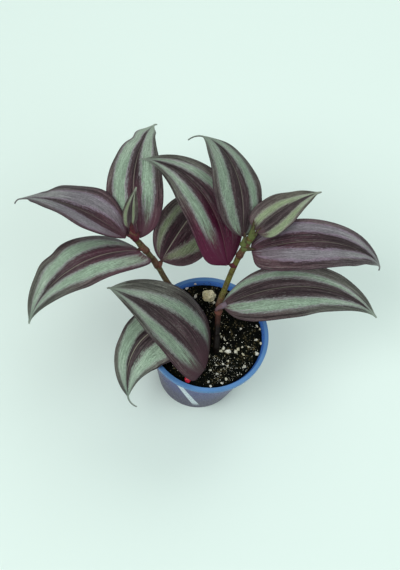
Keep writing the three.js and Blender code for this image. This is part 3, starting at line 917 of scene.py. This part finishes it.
# leaves: form repeats the solids' values. A stripe's path and width are shares of the blade's width,
# from the left edge, at its base, halfway and at its tip. Tone names the stripes' paint, light scales the
# leaf's colours as painted light or shade, for how much light falls on it, and flush is the share of purple
# that its lower part takes. Base and tip say how far the colours of the two ends reach, and fringe and rib
# how strong the stripes' rims and the midrib are.
bladeShape = {"thickness": 0.5, "columns": 40, "rows": 120, "tailShare": 0.07, "tailHalfWidth": 0.4,
              "baseReach": 6, "waves": 0.45, "waveCount": 2.6, "groove": 0.35, "grooveHalfWidth": 0.06,
              "waveShift": 0.37}
# what a form has unless it says otherwise
plainForm = {"oblique": 0, "bend": 1.4, "hook": (0, 0)}
leaves = {
    "left_front": {
        "form": {"base": (-37.3, 19.2, 72.9), "length": 64, "width": 26.5, "skew": -0.14,
                 "oblique": -0.03, "heading": 205, "sway": 41, "rise": 20, "droop": 92.5,
                 "roll": 35, "twist": -68, "peak": 0.26, "taper": 1.18, "vee": 0.12, "arch": 0.28,
                 "lobes": (18, 4), "tail": 2, "hook": (0, 10)},
        "left": {"path": (0.14, 0.27, 0.42), "width": (0.22, 0.23, 0.1)},
        "right": {"path": (0.7, 0.745, 0.54), "width": (0.1, 0.23, 0.16)},
        "tone": "silver", "light": 0.95, "flush": 0.4, "base": 0.1, "tip": 0.1, "fringe": 0.45, "rib": 0.4,
    },
    "left_outer": {
        "form": {"base": (-43.7, 20.6, 78.5), "length": 52.5, "width": 24.5, "skew": -0.2,
                 "heading": 157, "sway": 24.5, "rise": 13, "droop": 46, "roll": 3.5, "twist": 37,
                 "peak": 0.44, "taper": 1.12, "vee": 0.26, "arch": 0.14, "lobes": (0.5, 1),
                 "tail": 4, "hook": (60, 30)},
        "left": {"path": (0.18, 0.21, 0.4), "width": (0.2, 0.26, 0.36)},
        "right": {"path": (0.8, 0.7, 0.7), "width": (0.2, 0.25, 0.26)},
        "tone": "lilac", "light": 0.8, "flush": 0.35, "base": 0.12, "tip": 0.14, "fringe": 0.5, "rib": 0.15,
    },
    "left_top": {
        "form": {"base": (-38.4, 24.6, 74.1), "length": 63.5, "width": 25, "skew": -0.06,
                 "heading": 119, "sway": -44, "rise": 16, "droop": 42, "roll": 0, "twist": 0,
                 "peak": 0.34, "taper": 1.1, "vee": 0.17, "arch": 0.22, "lobes": (1, 4), "tail": 2,
                 "hook": (-50, 0)},
        "left": {"path": (0.32, 0.23, 0.2), "width": (0.18, 0.26, 0.34)},
        "right": {"path": (0.74, 0.73, 0.64), "width": (0.14, 0.24, 0.4)},
        "tone": "silver", "light": 0.95, "flush": 0.4, "base": 0.24, "tip": 0.16, "fringe": 0.6, "rib": 0.3,
    },
    "left_young": {
        "form": {"base": (-42.4, 24.7, 81.3), "length": 16.5, "width": 6.5, "skew": 0.14,
                 "heading": 106, "sway": -17, "rise": 29, "droop": 10, "roll": -2, "twist": 0,
                 "peak": 0.34, "taper": 1, "vee": 0.22, "arch": 0.18, "lobes": (2.5, 0.5),
                 "tail": 1},
        "left": {"path": (0.12, 0.2, 0.36), "width": (0.2, 0.16, 0.16)},
        "right": {"path": (0.66, 0.64, 0.52), "width": (0.16, 0.16, 0.16)},
        "tone": "green", "light": 0.85, "flush": 0.0, "base": 0.16, "tip": 0.1, "fringe": 0.2, "rib": 0.0,
    },
    "middle_back": {
        "form": {"base": (-27.1, 20.4, 66.2), "length": 45, "width": 27, "skew": -0.12,
                 "heading": 74, "sway": -4, "rise": 13.5, "droop": 55, "roll": 23, "twist": -6,
                 "peak": 0.38, "taper": 0.95, "vee": 0.28, "arch": 0.1, "lobes": (-0.5, 4.5),
                 "tail": 2},
        "left": {"path": (0.2, 0.21, 0.24), "width": (0.12, 0.14, 0.1)},
        "right": {"path": (0.58, 0.86, 0.82), "width": (0.18, 0.2, 0.18)},
        "tone": "green", "light": 0.75, "flush": 0.3, "base": 0.07, "tip": 0.1, "fringe": 0.35, "rib": 0.75,
    },
    "middle_top": {
        "form": {"base": (1.3, 22.3, 72.8), "length": 66, "width": 24.3, "skew": 0, "oblique": 0.45,
                 "heading": 110, "sway": 61.5, "rise": 32.8, "droop": 58.8, "roll": 17.4,
                 "twist": -63.4, "peak": 0.36, "taper": 1.16, "vee": 0.22, "arch": 0.2,
                 "lobes": (15.4, 0), "tail": 2.5, "hook": (15, 20)},
        "left": {"path": (0.34, 0.26, 0.37), "width": (0.14, 0.2, 0.16)},
        "right": {"path": (0.78, 0.77, 0.64), "width": (0.1, 0.16, 0.2)},
        "tone": "silver", "light": 0.8, "flush": 1.0, "base": 0.34, "tip": 0.12, "fringe": 0.5, "rib": 0.15,
    },
    "right_top": {
        "form": {"base": (4.4, 31.8, 83.6), "length": 55.3, "width": 22.5, "skew": 0.1,
                 "oblique": 0.05, "heading": 97, "sway": 49.5, "rise": 32.5, "droop": 68,
                 "roll": 13.5, "twist": 4, "peak": 0.36, "taper": 1.03, "vee": 0.16, "arch": 0.24,
                 "lobes": (1, 0.5), "tail": 10, "hook": (45, 25)},
        "left": {"path": (0.3, 0.2, 0.34), "width": (0.26, 0.2, 0.4)},
        "right": {"path": (0.84, 0.74, 0.7), "width": (0.22, 0.19, 0.34)},
        "tone": "silver", "light": 0.7, "flush": 0.15, "base": 0.04, "tip": 0.2, "fringe": 0.35, "rib": 0.3,
    },
    "right_young": {
        "form": {"base": (9.4, 33.7, 87.9), "length": 34, "width": 16.5, "skew": 0, "heading": 54,
                 "sway": -16, "rise": 21, "droop": 38, "roll": 4, "twist": -16, "peak": 0.28,
                 "taper": 1.05, "vee": 0.19, "arch": 0.21, "lobes": (1, 1.5), "tail": 1.5},
        "left": {"path": (0.32, 0.36, 0.48), "width": (0.22, 0.17, 0.14)},
        "right": {"path": (0.92, 0.84, 0.72), "width": (0.22, 0.18, 0.16)},
        "tone": "green", "light": 1.0, "flush": 0.0, "base": 0.1, "tip": 0.12, "fringe": 0.3, "rib": 0.2,
    },
    "right_upper": {
        "form": {"base": (10.1, 27.9, 79.6), "length": 66, "width": 22.3, "skew": -0.14,
                 "oblique": 0.05, "heading": 24.5, "sway": -22, "rise": 21, "droop": 77.5,
                 "roll": 5.5, "twist": 28, "peak": 0.32, "taper": 1.01, "vee": 0.26, "arch": 0.14,
                 "lobes": (1, 11.5), "tail": 3, "hook": (-120, 20)},
        "left": {"path": (0.17, 0.2, 0.3), "width": (0.18, 0.2, 0.16)},
        "right": {"path": (0.6, 0.74, 0.5), "width": (0.26, 0.19, 0.14)},
        "tone": "lilac", "light": 0.9, "flush": 0.3, "base": 0.07, "tip": 0.12, "fringe": 0.6, "rib": 0.25,
    },
    "right_lower": {
        "form": {"base": (3.7, 8.6, 60.9), "length": 76.5, "width": 25, "skew": -0.07,
                 "oblique": -0.08, "heading": 33.5, "sway": -42.5, "rise": 25, "droop": 71.5,
                 "roll": -11, "twist": 50, "peak": 0.35, "taper": 1.13, "vee": 0.1, "arch": 0.3,
                 "lobes": (-4, 7), "tail": 1.5},
        "left": {"path": (0.1, 0.27, 0.4), "width": (0.22, 0.14, 0.12)},
        "right": {"path": (0.68, 0.775, 0.6), "width": (0.24, 0.17, 0.12)},
        "tone": "silver", "light": 0.95, "flush": 0.05, "base": 0.06, "tip": 0.1, "fringe": 0.5, "rib": 0.25,
    },
    "front_upper": {
        "form": {"base": (2.1, -18.6, 51.3), "length": 56.5, "width": 29.6, "skew": -0.25,
                 "oblique": 0.09, "heading": 140, "sway": 35.5, "rise": 53.5, "droop": 55,
                 "bend": 0.7, "roll": 30, "twist": -62, "peak": 0.31, "taper": 0.86, "vee": 0.08,
                 "arch": 0.32, "lobes": (8, 3), "tail": 1.5, "hook": (40, 0)},
        "left": {"path": (0.36, 0.2, 0.34), "width": (0.24, 0.2, 0.1)},
        "right": {"path": (0.88, 0.72, 0.56), "width": (0.12, 0.17, 0.14)},
        "tone": "silver", "light": 0.68, "flush": 0.2, "base": 0.28, "tip": 0.12, "fringe": 0.4, "rib": 0.06,
    },
    "front_hanging": {
        "form": {"base": (-9.5, -0.5, 52), "length": 53, "width": 26, "skew": 0.22, "heading": 188,
                 "sway": 122, "rise": 14, "droop": 91, "roll": -9, "twist": -12, "peak": 0.29,
                 "taper": 1.12, "vee": 0.3, "arch": 0.08, "lobes": (1, 1), "tail": 8,
                 "hook": (50, -60)},
        "left": {"path": (0.2, 0.22, 0.32), "width": (0.2, 0.25, 0.2)},
        "right": {"path": (0.8, 0.76, 0.6), "width": (0.24, 0.28, 0.22)},
        "tone": "silver", "light": 1.15, "flush": 0.0, "base": 0.08, "tip": 0.1, "fringe": 0.2, "rib": 0.95,
    },
}


# dents and swellings of a margin: side (1 left, -1 right), how far up, reach and share of the width
marginDents = {
    "left_front": [(-1, 0.54, 0.04, -0.06), (-1, 0.64, 0.05, 0.07), (1, 0.45, 0.06, 0.03)],
    "left_outer": [(-1, 0.8, 0.035, -0.16), (-1, 0.72, 0.05, 0.05), (1, 0.84, 0.04, 0.16),
                   (1, 0.9, 0.03, -0.2)],
    "left_top": [(1, 0.77, 0.035, -0.14), (1, 0.87, 0.05, 0.3), (1, 0.68, 0.06, 0.04), (-1, 0.92, 0.03, 0.3)],
    "middle_top": [(-1, 0.5, 0.06, 0.03), (1, 0.6, 0.08, 0.03)],
    "right_top": [(-1, 0.6, 0.06, 0.03), (-1, 0.3, 0.05, -0.03)],
    "right_upper": [(-1, 0.75, 0.05, 0.05), (-1, 0.85, 0.04, -0.08)],
    "right_lower": [(-1, 0.6, 0.08, -0.04), (1, 0.7, 0.05, 0.03)],
    "front_hanging": [(1, 0.6, 0.06, 0.05), (-1, 0.5, 0.05, -0.04)],
}


# the midrib's direction, the blade's left side and its face normal, a share u of the way to the tip
def bladeFrame(form, u):
    blade = min(u, 1)
    tailShare = max(0, u - 1) / (form["tail"] / form["length"])
    turn = math.radians(form["heading"] + form["sway"] * blade + form["hook"][0] * tailShare)
    lift = math.radians(form["rise"] - form["droop"] * blade ** form["bend"] - form["hook"][1] * tailShare)
    roll = math.radians(form["roll"] + form["twist"] * blade)
    along = Vector((math.cos(lift) * math.cos(turn), math.cos(lift) * math.sin(turn), math.sin(lift)))
    level = Vector((-math.sin(turn), math.cos(turn), 0))
    left = Matrix.Rotation(roll, 3, along) @ level
    return along, left, along.cross(left)


def bladeHalfWidth(form, u):
    if u >= 1:
        return bladeShape["tailHalfWidth"] * (1 - 0.55 * min(1, (u - 1) * form["length"] / form["tail"]))
    if u <= 0:
        return bladeShape["tailHalfWidth"]
    swell = form["taper"] * form["peak"] / (1 - form["peak"])
    half = form["width"] / 2 * (u / form["peak"]) ** swell * ((1 - u) / (1 - form["peak"])) ** form["taper"]
    return math.hypot(half, bladeShape["tailHalfWidth"])


# how far up the blade each row lies: closer together at the base and the tip, then the tail
def rowShare(t, form):
    body = 1 - bladeShape["tailShare"]
    if t > body:
        return 1 + form["tail"] / form["length"] * (t - body) / bladeShape["tailShare"]
    return 0.5 - 0.5 * math.cos(math.pi * t / body)


def makeBlade(form, seed, dents):
    shape = bmesh.new()
    shape.loops.layers.uv.new("blade")
    bmesh.ops.create_grid(shape, x_segments=bladeShape["columns"], y_segments=bladeShape["rows"], size=1,
                          calc_uvs=True)
    rows = sorted({round((vert.co.y + 1) / 2, 6) for vert in shape.verts})
    ribs, rib, previous = {}, Vector(form["base"]), 0
    for t in rows:
        u = rowShare(t, form)
        if u > previous:
            rib = rib + bladeFrame(form, (u + previous) / 2)[0] * form["length"] * (u - previous)
        ribs[t] = (u, rib.copy())
        previous = u
    uvLayer = shape.loops.layers.uv["blade"]
    for face in shape.faces:
        for loop in face.loops:
            u = rowShare(round((loop.vert.co.y + 1) / 2, 6), form)
            loop[uvLayer].uv = ((1 - loop.vert.co.x) / 2, u)
    for vert in shape.verts:
        u, rib = ribs[round((vert.co.y + 1) / 2, 6)]
        across = vert.co.x
        along, left, normal = bladeFrame(form, u)
        evenHalf = bladeHalfWidth(form, u)
        nearBase = max(0, 1 - u) ** bladeShape["baseReach"]
        half = evenHalf * (1 + (1 if across > 0 else -1) * (form["skew"] + form["oblique"] * nearBase))
        onSide = [dent[1:] for dent in dents if dent[0] * across > 0]
        half *= 1 + sum(grow * math.exp(-(((u - at) / reach) ** 2)) for at, reach, grow in onSide)
        lobe = form["lobes"][0] if across > 0 else form["lobes"][1]
        lobeReach = nearBase * (2 * evenHalf / form["width"]) ** 2
        height = half * (form["vee"] * abs(across) - form["arch"] * across * across)
        phase = u * bladeShape["waveCount"] + seed * bladeShape["waveShift"] + (0.5 if across > 0 else 0)
        wave = bladeShape["waves"] * math.sin(2 * math.pi * phase) * abs(across) ** 3
        height += wave * min(1, 3 * u) * min(1, evenHalf * 4 / form["width"])
        groove = bladeShape["groove"] * math.exp(-((across / bladeShape["grooveHalfWidth"]) ** 2))
        height -= groove * min(1, evenHalf * 3 / form["width"])
        spot = rib - along * lobe * across * across * lobeReach
        vert.co = (spot + left * half * across + normal * height) * mm
    bmesh.ops.reverse_faces(shape, faces=shape.faces)
    return shape


# the few paints that all leaves are mixed from: the stripe paints hold the stripes' own silver, lilac and
# green, with the leaves' soft sheen in them as painted sheen
leafPaints = {
    "silver": paint(136, 158, 138), "lilac": paint(126, 122, 128), "green": paint(128, 142, 112),
    "flesh": paint(84, 74, 74), "middle": paint(70, 60, 62), "purple": paint(84, 26, 54),
    "pale": paint(178, 186, 176), "edge": paint(136, 114, 136), "rib": paint(150, 148, 132),
    "shadow": paint(34, 24, 28),
}


def blended(first, second, share):
    return tuple(a + (b - a) * share for a, b in zip(first, second))


# a leaf's zones: purple rises into the lower ones, and the stripes pale towards the tip
def zoneColours(leaf):
    paints, flush = leafPaints, leaf["flush"]
    stripe = paints[leaf["tone"]]
    zones = {
        "Centre Near": blended(paints["middle"], paints["purple"], flush), "Centre Far": paints["middle"],
        "Base": blended(paints["flesh"], paints["purple"], 0.3 + 0.7 * flush),
        "Tip": blended(stripe, paints["pale"], 0.5), "Fringe": paints["edge"],
    }
    for side in ("Left", "Right"):
        zones[side + " Near"] = blended(stripe, paints["purple"], 0.8 * flush)
        zones[side + " Middle"] = stripe
        zones[side + " Far"] = blended(stripe, paints["pale"], 0.3)
        zones[side + " Margin Near"] = blended(paints["flesh"], paints["purple"], flush)
        zones[side + " Margin Far"] = blended(paints["flesh"], stripe, 0.2)
    # every zone is scaled by the leaf's light: painted light or shade, lighter on lit leaves and darker on
    # shaded ones
    return {zone: (*(channel * leaf["light"] for channel in colour[:3]), 1) for zone, colour in zones.items()}


def leafMaterial(name, leaf, seed):
    material, tree, shader = newMaterial(name, {"Specular IOR Level": 0.12})
    values = {"Vector": addNode(tree, "ShaderNodeUVMap", uv_map="blade").outputs[0], "Seed": seed * 3.7}
    values.update(zoneColours(leaf))
    for side in ("Left", "Right"):
        stripe = leaf[side.lower()]
        values[side + " Path"], values[side + " Width"] = stripe["path"], stripe["width"]
    values["Base Reach"], values["Tip Reach"] = leaf["base"], leaf["tip"]
    values["Fringe Share"], values["Rib Share"] = leaf["fringe"], leaf["rib"]
    values["Midrib"], values["Shadow"] = leafPaints["rib"], leafPaints["shadow"]
    face = placeGroup(tree, zebraGroup, values)
    dress(tree, shader, face["Color"], face["Roughness"], face["Height"], 0.12)
    return material


def undersideMaterial():
    fixed = {"Specular IOR Level": 0.4, "Subsurface Weight": 0.05, "Subsurface Scale": 0.001}
    material, tree, shader = newMaterial("leafUnderside", fixed)
    uv = addNode(tree, "ShaderNodeUVMap", uv_map="blade").outputs[0]
    veins = placeGroup(tree, streakGroup, {"Vector": uv, "Across": 60.0, "Along": 3.0, "Seed": 2.0})
    across = addNode(tree, "ShaderNodeSeparateXYZ", {0: uv}).outputs[0]
    across = maths(tree, "ABSOLUTE", less(tree, across, 0.5))
    colour = mixed(tree, ramped(tree, veins["Streak"], 0.3, 0.7), paint(92, 36, 74), paint(128, 60, 104))
    colour = mixed(tree, ramped(tree, across, 0.0, 0.03, 0.7, 0.0), colour, paint(150, 110, 130))
    dress(tree, shader, colour, ramped(tree, veins["Streak"], 0.3, 0.7, 0.4, 0.55),
          plus(tree, veins["Streak"], veins["Vein"]), 0.12)
    return material


underside = undersideMaterial()
for number, (name, leaf) in enumerate(leaves.items()):
    shade = leafMaterial(name + "Leaf", leaf, number)
    bladeMesh = makeBlade({**plainForm, **leaf["form"]}, number, marginDents.get(name, ()))
    blade = finishPiece("blade_" + name, bladeMesh, [shade, underside], "leaf_" + name)
    flesh = blade.modifiers.new("flesh", "SOLIDIFY")
    flesh.thickness = bladeShape["thickness"] * mm
    flesh.offset = 0
    flesh.material_offset = 1
print("leaves made:", len(leaves))


# stage: a plain pale floor, soft studio light and a pale surround
studio = {
    "floor": paint(223, 239, 233), "floorSize": 4, "aim": (-5, 20, 55),
    "surround": (0.88, 0.96, 0.94), "surroundStrength": 0.42,
    "lamps": [
        {"name": "key", "place": (-420, -330, 700), "size": 560, "power": 3.7, "colour": (1, 0.99, 0.97)},
        {"name": "fill", "place": (450, -150, 520), "size": 620, "power": 1.45, "colour": (0.95, 0.98, 1)},
        {"name": "back", "place": (60, 520, 560), "size": 620, "power": 1.7, "colour": (0.97, 1, 0.98)},
    ],
}


def makeStage():
    shape = bmesh.new()
    bmesh.ops.create_grid(shape, x_segments=2, y_segments=2, size=studio["floorSize"])
    floor = addObject("floor", shape)
    look = {"Base Color": studio["floor"], "Roughness": 0.9, "Specular IOR Level": 0.1}
    floor.data.materials.append(newMaterial("paleFloor", look)[0])
    for lamp in studio["lamps"]:
        light = bpy.data.lights.new(lamp["name"], "AREA")
        light.shape = "DISK"
        light.size = lamp["size"] * mm
        light.energy = lamp["power"]
        light.color = lamp["colour"]
        holder = bpy.data.objects.new(lamp["name"], light)
        holder.location = Vector(lamp["place"]) * mm
        aim = Vector(studio["aim"]) * mm - holder.location
        holder.rotation_euler = aim.to_track_quat("-Z", "Y").to_euler()
        bpy.context.scene.collection.objects.link(holder)
    world = bpy.data.worlds.new("surround")
    world.use_nodes = True
    sky = world.node_tree.nodes["Background"]
    sky.inputs["Color"].default_value = (*studio["surround"], 1)
    sky.inputs["Strength"].default_value = studio["surroundStrength"]
    bpy.context.scene.world = world
    bpy.context.scene.view_settings.view_transform = "Standard"


makeStage()
print("stage set")
